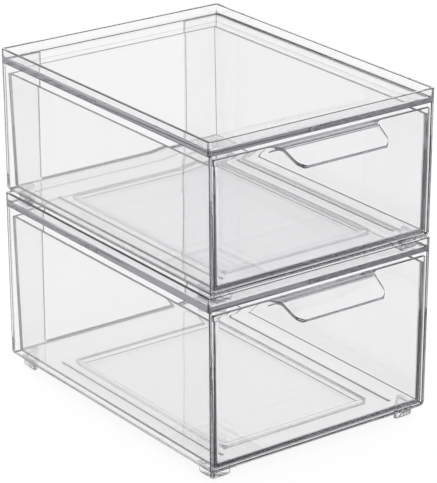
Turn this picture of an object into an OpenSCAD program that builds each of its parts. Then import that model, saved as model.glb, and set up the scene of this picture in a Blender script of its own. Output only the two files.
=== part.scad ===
// Two clear stacking drawer units. Each unit is an open-fronted case, a
// cover with a raised stacking rim, a pull-out drawer and four corner feet.
// The upper unit's feet stand on the lower unit's cover, inside its rim.
// Frame: +X to the right across the front, -Y out of the front, +Z up.
// The origin is at the bottom centre of the whole stack.

/* [Overall] */
// Outside width of each unit, across the rim
unit_w = 200; // [170:1:260]
// Depth of each unit, across the rim
unit_d = 263; // [240:1:340]
// Height of the lower unit, from the flat bottom of its case to its rim
lower_h = 134.5; // [90:0.5:180]
// Height of the upper unit, from the flat bottom of its case to its rim
upper_h = 113; // [90:0.5:180]
// Gap left under the upper unit's feet
stack_gap = 0.2; // [0.1:0.1:0.5]

/* [Case] */
// Thickness of the case walls
case_t = 2.5; // [2:0.1:3.5]
// Thickness of the case floor
case_floor_t = 2.2; // [2:0.1:3.5]
// How far the case wall stands in from the edge of the cover, at the top
case_inset = 0.7; // [0.3:0.1:1.5]
// How much further in each side wall is at the bottom than at the top
side_draft = 0.8; // [0:0.1:2]
// How much further in the back wall is at the bottom than at the top
back_draft = 0.6; // [0:0.1:2]
// Radius along the bottom edges of the case
case_r = 3.6; // [3:0.1:6]
// Half of the width of the window in the back wall
window_x = 66.5; // [40:0.5:76]
// Height of the sill under the window, from the bottom of the case
window_sill = 4.6; // [3.5:0.1:20]
// Half of the width of the sunken panel in the case floor
dish_x = 67; // [50:1:70]
// Half of the depth of the sunken panel in the case floor
dish_y = 95; // [60:1:100]
// How far the sunken panel lies forward of the middle of the case
dish_forward = 8; // [0:1:10]
// How far the panel is sunk
dish_z = 4; // [2:0.5:4.5]
// How far the panel's walls lean in towards its bottom
dish_taper = 2; // [0:0.5:3]
// Corner radius of the sunken panel
dish_r = 6; // [5:0.5:20]
// Distance of each drawer rail from the middle
rail_x = 77; // [76:0.5:82]
// Width of a drawer rail
rail_w = 1.8; // [1.2:0.1:3]
// Height of a drawer rail
rail_h = 0.9; // [0.6:0.1:2]
// How far the rails lie forward of the middle of the case
rail_forward = 14; // [0:1:14]
// Half of the length of a drawer rail
rail_y = 101; // [60:1:101]

/* [Cover] */
// Thickness of the cover plate
plate_t = 3.2; // [2.5:0.1:4]
// Height of the stacking rim above the plate
rim_h = 7.4; // [5:0.1:8]
// Thickness of the stacking rim
rim_t = 2.5; // [2:0.1:4]
// Corner radius of the rim
rim_r = 2.6; // [1:0.1:5]
// Radius where the rim meets the plate, inside
tray_r = 2; // [0.5:0.1:3]

/* [Drawer] */
// Thickness of the drawer walls and floor
drawer_t = 2.4; // [2:0.1:3]
// Clearance between the drawer front and the case wall, each side
front_gap = 1.2; // [0.8:0.1:2]
// How far the drawer box stands in from the edge of its front, each side
box_inset = 0.6; // [0.3:0.05:2]
// Extra inward lean of the drawer box sides, at the bottom
box_draft = 0.2; // [0:0.1:1.5]
// Clearance between the top of the drawer front and the cover
top_gap = 3.3; // [0.8:0.1:5]
// Clearance between the drawer floor and the rails
rail_gap = 0.3; // [0.2:0.1:0.6]
// Height of the drawer front above the drawer side walls
front_step = 5; // [0:0.1:8]
// Distance from the drawer back to the inside of the case's back wall, at the top
back_gap = 1.2; // [1:0.1:20]
// Extra inward lean of the drawer's back wall, at the bottom
box_back_draft = 3.4; // [0:0.1:6]
// Radius along the bottom edges of the drawer box
drawer_r = 3.2; // [3:0.1:6]
// Radius inside the drawer where the floor meets the front
front_fillet = 1.5; // [0.5:0.1:3]
// Radius inside the drawer where the side walls meet the front
corner_fillet = 2.4; // [0.5:0.1:4]

/* [Pull lip] */
// How far the lip stands out in front of the drawer
lip_out = 26; // [15:0.5:32]
// How far the tip of the lip is below the top of the drawer front
lip_drop = 9.3; // [4:0.1:12]
// Length of the level part of the lip, before it bends down
lip_flat = 8; // [5:0.5:12]
// Half of the width of the lip at the drawer front, without its corner fillets
lip_x = 43.5; // [30:0.1:60]
// How much narrower the lip is at its tip, each side
lip_taper = 3.4; // [0:0.1:6]
// Radius of the two corners at the tip of the lip
lip_r = 11; // [4:0.5:12]
// Radius of the fillets between the lip's sides and the drawer front, in plan
lip_root_r = 9.5; // [3:0.5:10]
// Thickness of the lip
lip_t = 2.4; // [2:0.1:3]

/* [Feet] */
// Height of a foot
foot_h = 8.2; // [8.2:0.1:12]
// Length of each of the two straight sides of a foot
foot_leg = 19; // [12:0.5:19]
// How far a foot stands in from the edges of the case
foot_inset = 6; // [5:0.5:7]
// Corner radius of a foot, in plan
foot_r = 2.6; // [1:0.1:4]
// Height of the bevel round the bottom of a foot
foot_bevel = 1; // [0.5:0.1:2]

/* [Hidden] */
// Steps in each rounded corner
STEPS = 8;
// Front plane of the units, so that the stack and its lips are centred on Y
FRONT = -(unit_d + lip_out - case_inset) / 2 + lip_out - case_inset;
// Middle of the case, front to back
MID = FRONT + unit_d / 2;
// Front face of the cases and of the drawers
FACE = FRONT + case_inset;
// Height of the cover above the top of the case wall
COVER_H = plate_t + rim_h;
// Bottom of each case
LOWER_Z = foot_h;
UPPER_Z = LOWER_Z + lower_h - rim_h + stack_gap + foot_h;
// Outside half-widths of the case, at the top and the bottom of its walls
CASE_TOP_X = unit_w / 2 - case_inset;
CASE_BOT_X = CASE_TOP_X - side_draft;
// Outside back of the case, at the top and the bottom
CASE_TOP_Y = FRONT + unit_d - case_inset;
CASE_BOT_Y = CASE_TOP_Y - back_draft;
// Middle of the sunken floor panel, front to back
DISH_MID = MID - dish_forward;
// Half-widths of the drawer front
FRONT_TOP_X = CASE_TOP_X - case_t - front_gap;
FRONT_BOT_X = CASE_BOT_X - case_t - front_gap + 0.1;
// Outside half-widths of the drawer box
BOX_TOP_X = FRONT_TOP_X - box_inset;
BOX_BOT_X = BOX_TOP_X - side_draft - box_draft;
// Underside of the drawer box and of the drawer front, above the case bottom
BOX_Z = case_floor_t + rail_h + rail_gap;
FRONT_Z = case_floor_t + 0.7;
// Outside back of the drawer box, at the top and the bottom
BOX_TOP_Y = CASE_TOP_Y - case_t - back_gap;
BOX_BOT_Y = BOX_TOP_Y - back_draft - box_back_draft;

// Points that round the corner p, between its neighbours a and b, to radius r
function corner(a, p, b, r) =
    r <= 0 ? [p] :
    let (
        u = (a - p) / norm(a - p),
        v = (b - p) / norm(b - p),
        half = acos(u * v) / 2,
        c = p + (u + v) / norm(u + v) * r / sin(half),
        s = p + u * r / tan(half) - c,
        e = p + v * r / tan(half) - c,
        start = atan2(s[1], s[0]),
        turn = atan2(s[0] * e[1] - s[1] * e[0], s * e)
    )
    [for (i = [0:STEPS]) c + r * [cos(start + turn * i / STEPS), sin(start + turn * i / STEPS)]];

// A polygon's points, with each corner rounded to its own radius
function rounded(pts, radii) =
    [for (i = [0:len(pts) - 1])
        each corner(pts[(i + len(pts) - 1) % len(pts)], pts[i], pts[(i + 1) % len(pts)], radii[i])];

// A rectangle of half-sizes hx and hy about a centre, with rounded corners
function rounded_rect(hx, hy, r, cy = 0) =
    rounded([[-hx, cy - hy], [hx, cy - hy], [hx, cy + hy], [-hx, cy + hy]], [r, r, r, r]);

// Extrudes a profile drawn in X and Z along Y, from y0 to y1
module along_y(y0, y1) {
    translate([0, y1, 0]) rotate([90, 0, 0]) linear_extrude(height = y1 - y0) children();
}

// Extrudes a profile drawn in Y and Z along X, from -hx to hx
module along_x(hx) {
    rotate([90, 0, 90]) translate([0, 0, -hx]) linear_extrude(height = 2 * hx) children();
}

// Space of the sunken floor panel from z0 to z1, drawn in by t all round,
// with walls that lean in towards the bottom
module panel_space(t, z0, z1) {
    intersection() {
        translate([0, 0, z0]) linear_extrude(height = z1 - z0)
            polygon(rounded_rect(dish_x - t, dish_y - t, dish_r - t, DISH_MID));
        along_y(DISH_MID - dish_y, DISH_MID + dish_y)
            polygon([[-dish_x + t + dish_taper, z0], [dish_x - t - dish_taper, z0],
                     [dish_x - t, z1], [-dish_x + t, z1]]);
        along_x(dish_x)
            polygon([[DISH_MID - dish_y + t + dish_taper, z0], [DISH_MID + dish_y - t - dish_taper, z0],
                     [DISH_MID + dish_y - t, z1], [DISH_MID - dish_y + t, z1]]);
    }
}

// Open-fronted case with its bottom at z = 0 and walls up to z = h
module case_body(h) {
    difference() {
        union() {
            // Outside of the walls and floor
            intersection() {
                along_y(FACE, CASE_TOP_Y + 1)
                    polygon(rounded(
                        [[-CASE_BOT_X, 0], [CASE_BOT_X, 0], [CASE_TOP_X, h], [-CASE_TOP_X, h]],
                        [case_r, case_r, 0, 0]));
                along_x(unit_w)
                    polygon(rounded(
                        [[FACE - 1, 0], [CASE_BOT_Y, 0], [CASE_TOP_Y, h], [FACE - 1, h]],
                        [0, case_r, 0, 0]));
            }
            // Outside of the sunken floor panel
            panel_space(0, -dish_z, 1);
        }
        // Inside of the walls
        intersection() {
            along_y(FACE - 1, CASE_TOP_Y)
                polygon(rounded(
                    [[-CASE_BOT_X + case_t, case_floor_t], [CASE_BOT_X - case_t, case_floor_t],
                     [CASE_TOP_X - case_t, h + 1], [-CASE_TOP_X + case_t, h + 1]],
                    [case_r - case_t, case_r - case_t, 0, 0]));
            along_x(unit_w)
                polygon(rounded(
                    [[FACE - 1, case_floor_t], [CASE_BOT_Y - case_t, case_floor_t],
                     [CASE_TOP_Y - case_t, h + 1], [FACE - 1, h + 1]],
                    [0, case_r - case_t, 0, 0]));
        }
        // Inside of the sunken floor panel
        panel_space(case_t, case_floor_t - dish_z, case_floor_t + 1);
        // Window in the back wall, open at the top
        along_y(CASE_BOT_Y - case_t - 3, CASE_TOP_Y + 1)
            polygon(rounded(
                [[-window_x, window_sill], [window_x, window_sill], [window_x, h + 1], [-window_x, h + 1]],
                [1.5, 1.5, 0, 0]));
    }
    // Rails that the drawer slides on
    for (side = [-1, 1])
        translate([side * rail_x, 0, case_floor_t - 0.3]) linear_extrude(height = rail_h + 0.3)
            polygon(rounded_rect(rail_w / 2, rail_y, rail_w / 2 - 0.1, MID - rail_forward));
}

// Cover plate with a raised rim, underside at z = 0
module cover_body() {
    difference() {
        linear_extrude(height = COVER_H)
            polygon(rounded_rect(unit_w / 2, unit_d / 2, rim_r, MID));
        // Space inside the rim, rounded where the rim meets the plate
        intersection() {
            translate([0, 0, plate_t]) linear_extrude(height = rim_h + 1)
                polygon(rounded_rect(unit_w / 2 - rim_t, unit_d / 2 - rim_t, 0.6, MID));
            along_y(FRONT, FRONT + unit_d)
                polygon(rounded(
                    [[-unit_w / 2 + rim_t, plate_t], [unit_w / 2 - rim_t, plate_t],
                     [unit_w / 2 - rim_t, COVER_H + 1], [-unit_w / 2 + rim_t, COVER_H + 1]],
                    [tray_r, tray_r, 0, 0]));
            along_x(unit_w / 2)
                polygon(rounded(
                    [[FRONT + rim_t, plate_t], [FRONT + unit_d - rim_t, plate_t],
                     [FRONT + unit_d - rim_t, COVER_H + 1], [FRONT + rim_t, COVER_H + 1]],
                    [tray_r, tray_r, 0, 0]));
        }
    }
}

// Pull lip, its level top face at z = 0
module lip_body() {
    // Slope of the part that bends down
    slope = atan(lip_drop / (lip_out - lip_flat));
    back = lip_t * tan(slope / 2);
    intersection() {
        along_x(unit_w / 2)
            polygon(rounded(
                [[FACE + 1, 0], [FACE - lip_flat, 0], [FACE - lip_out, -lip_drop],
                 [FACE - lip_out + lip_t * sin(slope), -lip_drop - lip_t * cos(slope)],
                 [FACE - lip_flat + back, -lip_t], [FACE, -lip_t],
                 [FACE, -lip_t - 6], [FACE + 1, -lip_t - 6]],
                [0, 12, 0.9, 0.9, 8, 3, 0, 0]));
        translate([0, 0, -lip_drop - lip_t - 6]) linear_extrude(height = lip_drop + lip_t + 8)
            polygon(rounded(
                [[-lip_x - 10, FACE + 1], [-lip_x - 10, FACE], [-lip_x, FACE],
                 [-lip_x + lip_taper, FACE - lip_out - 0.5], [lip_x - lip_taper, FACE - lip_out - 0.5],
                 [lip_x, FACE], [lip_x + 10, FACE], [lip_x + 10, FACE + 1]],
                [0, 0, lip_root_r, lip_r, lip_r, lip_root_r, 0, 0]));
    }
}

// Drawer for a unit of rim height h, in the case's own heights
module drawer_body(h) {
    front_top = h - COVER_H - top_gap;
    box_top = front_top - front_step;
    // Front panel
    along_y(FACE, FACE + case_t)
        polygon(rounded(
            [[-FRONT_BOT_X, FRONT_Z], [FRONT_BOT_X, FRONT_Z],
             [FRONT_TOP_X, front_top], [-FRONT_TOP_X, front_top]],
            [case_r - 1, case_r - 1, 1, 1]));
    // Box with an open top
    difference() {
        intersection() {
            along_y(FACE + case_t - 0.5, BOX_TOP_Y + 1)
                polygon(rounded(
                    [[-BOX_BOT_X, BOX_Z], [BOX_BOT_X, BOX_Z], [BOX_TOP_X, box_top], [-BOX_TOP_X, box_top]],
                    [drawer_r, drawer_r, 0, 0]));
            along_x(unit_w)
                polygon(rounded(
                    [[FACE - 1, BOX_Z], [BOX_BOT_Y, BOX_Z], [BOX_TOP_Y, box_top], [FACE - 1, box_top]],
                    [0, drawer_r, 0, 0]));
        }
        intersection() {
            along_y(FACE + case_t, BOX_TOP_Y)
                polygon(rounded(
                    [[-BOX_BOT_X + drawer_t, BOX_Z + drawer_t], [BOX_BOT_X - drawer_t, BOX_Z + drawer_t],
                     [BOX_TOP_X - drawer_t, box_top + 1], [-BOX_TOP_X + drawer_t, box_top + 1]],
                    [drawer_r - drawer_t, drawer_r - drawer_t, 0, 0]));
            along_x(unit_w)
                polygon(rounded(
                    [[FACE + case_t, BOX_Z + drawer_t], [BOX_BOT_Y - drawer_t, BOX_Z + drawer_t],
                     [BOX_TOP_Y - drawer_t, box_top + 1], [FACE + case_t, box_top + 1]],
                    [front_fillet, drawer_r - drawer_t, 0, 0]));
            linear_extrude(height = h)
                polygon(rounded(
                    [[-BOX_TOP_X + drawer_t, FACE + case_t], [BOX_TOP_X - drawer_t, FACE + case_t],
                     [BOX_TOP_X - drawer_t, BOX_TOP_Y], [-BOX_TOP_X + drawer_t, BOX_TOP_Y]],
                    [corner_fillet, corner_fillet, 0, 0]));
        }
    }
    translate([0, 0, front_top]) lip_body();
}

// Corner foot, its square corner towards the case's corner on side sx, sy
module foot_body(sx, sy) {
    cx = sx * (CASE_BOT_X - foot_inset);
    cy = sy > 0 ? CASE_BOT_Y - foot_inset : FACE + foot_inset;
    // One level of the foot, shrunk inwards by d
    function level(d) = rounded(
        [[cx - sx * d, cy - sy * d],
         [cx - sx * (foot_leg - 2.4 * d), cy - sy * d],
         [cx - sx * d, cy - sy * (foot_leg - 2.4 * d)]],
        [foot_r, foot_r * 0.6, foot_r * 0.6]);
    translate([0, 0, foot_bevel]) linear_extrude(height = foot_h - foot_bevel)
        polygon(level(0));
    translate([0, 0, foot_bevel / 2]) linear_extrude(height = foot_bevel / 2 + 0.2)
        polygon(level(foot_bevel * 0.3));
    linear_extrude(height = foot_bevel / 2 + 0.2)
        polygon(level(foot_bevel * 0.9));
}

module lower_case() {
    color([0.93, 0.94, 0.95, 0.35]) translate([0, 0, LOWER_Z]) case_body(lower_h - COVER_H);
}

module lower_cover() {
    color([0.93, 0.94, 0.95, 0.35]) translate([0, 0, LOWER_Z + lower_h - COVER_H]) cover_body();
}

module lower_drawer() {
    color([0.90, 0.92, 0.94, 0.35]) translate([0, 0, LOWER_Z]) drawer_body(lower_h);
}

module lower_foot_front_left() {
    color([0.88, 0.90, 0.92, 0.45]) foot_body(-1, -1);
}

module lower_foot_front_right() {
    color([0.88, 0.90, 0.92, 0.45]) foot_body(1, -1);
}

module lower_foot_rear_left() {
    color([0.88, 0.90, 0.92, 0.45]) foot_body(-1, 1);
}

module lower_foot_rear_right() {
    color([0.88, 0.90, 0.92, 0.45]) foot_body(1, 1);
}

module upper_case() {
    color([0.93, 0.94, 0.95, 0.35]) translate([0, 0, UPPER_Z]) case_body(upper_h - COVER_H);
}

module upper_cover() {
    color([0.93, 0.94, 0.95, 0.35]) translate([0, 0, UPPER_Z + upper_h - COVER_H]) cover_body();
}

module upper_drawer() {
    color([0.90, 0.92, 0.94, 0.35]) translate([0, 0, UPPER_Z]) drawer_body(upper_h);
}

module upper_foot_front_left() {
    color([0.88, 0.90, 0.92, 0.45]) translate([0, 0, UPPER_Z - foot_h]) foot_body(-1, -1);
}

module upper_foot_front_right() {
    color([0.88, 0.90, 0.92, 0.45]) translate([0, 0, UPPER_Z - foot_h]) foot_body(1, -1);
}

module upper_foot_rear_left() {
    color([0.88, 0.90, 0.92, 0.45]) translate([0, 0, UPPER_Z - foot_h]) foot_body(-1, 1);
}

module upper_foot_rear_right() {
    color([0.88, 0.90, 0.92, 0.45]) translate([0, 0, UPPER_Z - foot_h]) foot_body(1, 1);
}

lower_case();
lower_cover();
lower_drawer();
lower_foot_front_left();
lower_foot_front_right();
lower_foot_rear_left();
lower_foot_rear_right();
upper_case();
upper_cover();
upper_drawer();
upper_foot_front_left();
upper_foot_front_right();
upper_foot_rear_left();
upper_foot_rear_right();
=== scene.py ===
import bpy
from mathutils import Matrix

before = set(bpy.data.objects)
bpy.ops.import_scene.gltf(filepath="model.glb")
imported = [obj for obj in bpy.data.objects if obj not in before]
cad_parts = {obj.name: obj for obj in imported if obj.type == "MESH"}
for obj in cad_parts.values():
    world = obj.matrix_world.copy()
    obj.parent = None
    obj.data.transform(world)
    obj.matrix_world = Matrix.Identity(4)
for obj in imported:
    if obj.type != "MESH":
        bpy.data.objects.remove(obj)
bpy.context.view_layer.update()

import math

import bpy
from mathutils import Matrix, Vector

scene = bpy.context.scene
MM = 0.001


# ---------------------------------------------------------------- materials

def new_material(name):
    m = bpy.data.materials.new(name)
    m.use_nodes = True
    m.node_tree.nodes.clear()
    return m, m.node_tree.nodes, m.node_tree.links


def clear_plastic(name, tint, ior, gloss, haze, wave, wave_size, deep, deep_colour, painted_fillet_shade=None, painted_corner_shade=None):
    """Clear moulded plastic: smooth glass with a faint flow waviness, a little handling haze and a tint that only a
    long path shows. It can also paint shade onto rounded bottom edges or upright corners, and a lighter painted tint
    onto flat faces.
    """
    m, nodes, links = new_material(name)
    out = nodes.new("ShaderNodeOutputMaterial")
    p = nodes.new("ShaderNodeBsdfPrincipled")
    p.inputs["Base Color"].default_value = (*tint, 1)
    p.inputs["IOR"].default_value = ior
    p.inputs["Transmission Weight"].default_value = 1.0
    links.new(p.outputs["BSDF"], out.inputs["Surface"])

    place = nodes.new("ShaderNodeTexCoord")
    # Handling haze: very faint, in broad soft patches
    patches = nodes.new("ShaderNodeTexNoise")
    patches.inputs["Scale"].default_value = 9
    patches.inputs["Detail"].default_value = 5
    patches.inputs["Roughness"].default_value = 0.62
    links.new(place.outputs["Object"], patches.inputs["Vector"])
    rough = nodes.new("ShaderNodeMapRange")
    rough.inputs["From Min"].default_value = 0.45
    rough.inputs["From Max"].default_value = 0.8
    rough.inputs["To Min"].default_value = gloss
    rough.inputs["To Max"].default_value = haze
    links.new(patches.outputs["Fac"], rough.inputs["Value"])
    links.new(rough.outputs["Result"], p.inputs["Roughness"])

    # Painted shade and light: the long rounded edges along the bottom are coloured dark where the plastic bends the
    # light away, and the flat faces get a lighter tint than the walls
    if painted_fillet_shade is not None:
        fillet_shade_colour, painted_light_flat_tint, low, high, soft = painted_fillet_shade
        lean = nodes.new("ShaderNodeSeparateXYZ")
        links.new(place.outputs["Normal"], lean.inputs["Vector"])
        slope = nodes.new("ShaderNodeMath")
        slope.operation = "ABSOLUTE"
        links.new(lean.outputs["Z"], slope.inputs[0])
        ramp = nodes.new("ShaderNodeValToRGB")
        links.new(slope.outputs["Value"], ramp.inputs["Fac"])
        band = ramp.color_ramp
        band.elements[0].position = low - soft
        band.elements[0].color = (*tint, 1)
        band.elements[1].position = high + soft
        band.elements[1].color = (*painted_light_flat_tint, 1)
        for at in (low, high):
            e = band.elements.new(at)
            e.color = (*fillet_shade_colour, 1)
        links.new(ramp.outputs["Color"], p.inputs["Base Color"])

    # Painted shade: the rounded upright corners of a foot are coloured dark, standing in for their dark refracted
    # outlines
    if painted_corner_shade is not None:
        side = nodes.new("ShaderNodeSeparateXYZ")
        links.new(place.outputs["Normal"], side.inputs["Vector"])
        product = nodes.new("ShaderNodeMath")
        product.operation = "MULTIPLY"
        links.new(side.outputs["X"], product.inputs[0])
        links.new(side.outputs["Y"], product.inputs[1])
        turn = nodes.new("ShaderNodeMath")
        turn.operation = "ABSOLUTE"
        links.new(product.outputs["Value"], turn.inputs[0])
        ramp = nodes.new("ShaderNodeValToRGB")
        links.new(turn.outputs["Value"], ramp.inputs["Fac"])
        band = ramp.color_ramp
        band.elements[0].position = 0.05
        band.elements[0].color = (*tint, 1)
        band.elements[1].position = 0.48
        band.elements[1].color = (*tint, 1)
        for at in (0.08, 0.45):
            e = band.elements.new(at)
            e.color = (*painted_corner_shade, 1)
        links.new(ramp.outputs["Color"], p.inputs["Base Color"])

    # Flow waviness of the moulding
    flow = nodes.new("ShaderNodeTexNoise")
    flow.inputs["Scale"].default_value = wave_size
    flow.inputs["Detail"].default_value = 1
    links.new(place.outputs["Object"], flow.inputs["Vector"])
    bump = nodes.new("ShaderNodeBump")
    bump.inputs["Strength"].default_value = 1
    bump.inputs["Distance"].default_value = wave
    links.new(flow.outputs["Fac"], bump.inputs["Height"])
    links.new(bump.outputs["Normal"], p.inputs["Normal"])

    # What a long way through the plastic takes out
    inside = nodes.new("ShaderNodeVolumeAbsorption")
    inside.inputs["Color"].default_value = (*deep_colour, 1)
    inside.inputs["Density"].default_value = deep
    links.new(inside.outputs["Volume"], out.inputs["Volume"])
    return m


# The case's and drawer's plastics carry painted shade on their rounded bottom edges and a lighter painted tint on their
# flat faces
case_m = clear_plastic("case_plastic", (0.953, 0.953, 0.956), 1.5, 0.0, 0.012, 0.00001, 14, 3.6, (0.30, 0.30, 0.34),
                       ((0.008, 0.008, 0.01), (0.98, 0.98, 0.982), 0.462, 0.9, 0.01))
cover_m = clear_plastic("cover_plastic", (0.93, 0.93, 0.933), 1.5, 0.0, 0.012, 0.00001, 14, 6.8, (0.30, 0.30, 0.34))
drawer_m = clear_plastic("drawer_plastic", (0.953, 0.953, 0.956), 1.5, 0.0, 0.012, 0.00002, 14, 6.5, (0.28, 0.28, 0.32),
                         ((0.07, 0.07, 0.08), (0.98, 0.98, 0.982), 0.4, 0.78, 0.05))
# The foot's plastic carries painted shade on its upright corners
foot_m = clear_plastic("foot_plastic", (0.97, 0.97, 0.972), 1.5, 0.0, 0.01, 0.00001, 30, 4.0, (0.30, 0.30, 0.33),
                       painted_corner_shade=(0.12, 0.12, 0.125))
# Painted shade: the small rounded edges of the mouldings are coloured near black, far darker than the walls, standing
# in for the dark lines that the light bending at them draws
painted_edge_shade_m = clear_plastic("painted_edge_shade", (0.02, 0.02, 0.022), 1.5, 0.0, 0.02, 0.00001, 14, 5.5, (0.30, 0.30, 0.33))
rim_painted_edge_shade_m = clear_plastic("rim_painted_edge_shade", (0.02, 0.02, 0.022), 1.5, 0.0, 0.02, 0.00001, 14, 6.8, (0.30, 0.30, 0.34))
foot_painted_edge_shade_m = clear_plastic("foot_painted_edge_shade", (0.01, 0.01, 0.012), 1.5, 0.0, 0.02, 0.00001, 14, 2.0, (0.30, 0.30, 0.33))

FINISH = {
    "case": (case_m, 0.44, painted_edge_shade_m),
    "cover": (cover_m, 0.45, rim_painted_edge_shade_m),
    "drawer": (drawer_m, 0.38, painted_edge_shade_m),
    "foot": (foot_m, 0.24, foot_painted_edge_shade_m),
}

for name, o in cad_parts.items():
    kind = name.split("_")[1]
    material, edge, painted_edge_shade_material = FINISH[kind]
    o.data.materials.clear()
    o.data.materials.append(material)
    o.data.materials.append(painted_edge_shade_material)
    if "custom_normal" in o.data.attributes:
        o.data.attributes.remove(o.data.attributes["custom_normal"])
    if kind == "drawer":
        o.data.shade_smooth()
    else:
        o.data.shade_flat()
    # One skin again, with the small rounded edges of a moulding
    weld = o.modifiers.new("weld", "WELD")
    weld.merge_threshold = 0.000002
    if kind != "drawer":
        flats = o.modifiers.new("flats", "DECIMATE")
        flats.decimate_type = "DISSOLVE"
        flats.angle_limit = math.radians(0.3)
    bevel = o.modifiers.new("edges", "BEVEL")
    bevel.width = edge * MM
    bevel.segments = 2
    bevel.limit_method = "ANGLE"
    bevel.angle_limit = math.radians(38)
    bevel.harden_normals = False
    bevel.use_clamp_overlap = False
    # The bevel faces take the second slot, the painted edge shade
    bevel.material = 1
    # A hair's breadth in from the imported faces, so that bonded pieces don't share a face
    skin = o.modifiers.new("skin", "DISPLACE")
    skin.strength = -0.03 * MM if kind in ("cover", "foot") else 0
    skin.mid_level = 0
    # The drawer's flat faces stay flat, and its pull lip is shaded smooth
    if kind == "drawer":
        flat = o.modifiers.new("flat_faces", "WEIGHTED_NORMAL")
        flat.mode = "FACE_AREA"
        flat.weight = 100
        flat.thresh = 0.01
        flat.keep_sharp = False


# ---------------------------------------------------------------- stage

def mesh_object(name, verts, faces):
    me = bpy.data.meshes.new(name)
    me.from_pydata(verts, [], faces)
    me.update()
    o = bpy.data.objects.new(name, me)
    scene.collection.objects.link(o)
    return o


floor = mesh_object("floor", [(-4, -4, 0), (4, -4, 0), (4, 4, 0), (-4, 4, 0)], [(0, 1, 2, 3)])
floor_m, nodes, links = new_material("floor_paint")
out = nodes.new("ShaderNodeOutputMaterial")
p = nodes.new("ShaderNodeBsdfPrincipled")
p.inputs["Base Color"].default_value = (0.08, 0.08, 0.08, 1)
p.inputs["Roughness"].default_value = 0.9
p.inputs["Emission Color"].default_value = (1, 1, 1, 1)
p.inputs["Emission Strength"].default_value = 0.915
links.new(p.outputs["BSDF"], out.inputs["Surface"])
floor.data.materials.append(floor_m)
floor.location.z = -0.0002

world = bpy.data.worlds.new("studio")
scene.world = world
world.use_nodes = True
nodes, links = world.node_tree.nodes, world.node_tree.links
nodes.clear()
out = nodes.new("ShaderNodeOutputWorld")
back = nodes.new("ShaderNodeBackground")
links.new(back.outputs["Background"], out.inputs["Surface"])
place = nodes.new("ShaderNodeTexCoord")
split = nodes.new("ShaderNodeSeparateXYZ")
links.new(place.outputs["Generated"], split.inputs["Vector"])
ramp = nodes.new("ShaderNodeValToRGB")
links.new(split.outputs["Z"], ramp.inputs["Fac"])
cr = ramp.color_ramp
cr.elements[0].position = 0.0
cr.elements[0].color = (1, 1, 1, 1)
cr.elements[1].position = 1.0
cr.elements[1].color = (1.2, 1.2, 1.2, 1)
e = cr.elements.new(0.45); e.color = (1, 1, 1, 1)
e = cr.elements.new(0.49); e.color = (0.36, 0.36, 0.41, 1)
e = cr.elements.new(0.69); e.color = (0.36, 0.36, 0.41, 1)
e = cr.elements.new(0.74); e.color = (1.2, 1.2, 1.2, 1)
links.new(ramp.outputs["Color"], back.inputs["Color"])
back.inputs["Strength"].default_value = 1.0


# ---------------------------------------------------------------- light

def area_light(name, at, aim, size_x, size_y, watts):
    d = bpy.data.lights.new(name, "AREA")
    d.shape = "RECTANGLE"
    d.size, d.size_y = size_x, size_y
    d.energy = watts
    o = bpy.data.objects.new(name, d)
    o.location = at
    o.rotation_mode = "QUATERNION"
    o.rotation_quaternion = (Vector(aim) - Vector(at)).to_track_quat("-Z", "Y")
    scene.collection.objects.link(o)
    return o


area_light("top_softbox", (0.0, 0.2, 2.2), (0, 0, 0), 2.4, 2.4, 20)

# ---------------------------------------------------------------- camera

AZ, EL = math.radians(-36.31), math.radians(21.53)
F_PX, DIST = 2700.0, 2.00555
TX, TZ = 0.00384, -0.02061
back_v = Vector((math.sin(AZ) * math.cos(EL), -math.cos(AZ) * math.cos(EL), math.sin(EL)))
right_v = Vector((math.cos(AZ), math.sin(AZ), 0))
up_v = back_v.cross(right_v)
cam_data = bpy.data.cameras.new("camera")
cam = bpy.data.objects.new("camera", cam_data)
scene.collection.objects.link(cam)
cam_data.sensor_fit = "AUTO"
cam_data.sensor_width = 36
cam_data.lens = F_PX / 483 * 36
cam_data.clip_start, cam_data.clip_end = 0.05, 50
target = Vector((0, 0.01265, 0.1427)) + right_v * TX + up_v * TZ
cam.matrix_world = Matrix.Translation(target + back_v * DIST) @ Matrix((right_v, up_v, back_v)).transposed().to_4x4()
scene.camera = cam

scene.cycles.max_bounces = 64
scene.cycles.transmission_bounces = 64
scene.cycles.glossy_bounces = 64
scene.cycles.transparent_max_bounces = 32
scene.view_settings.view_transform = "Standard"
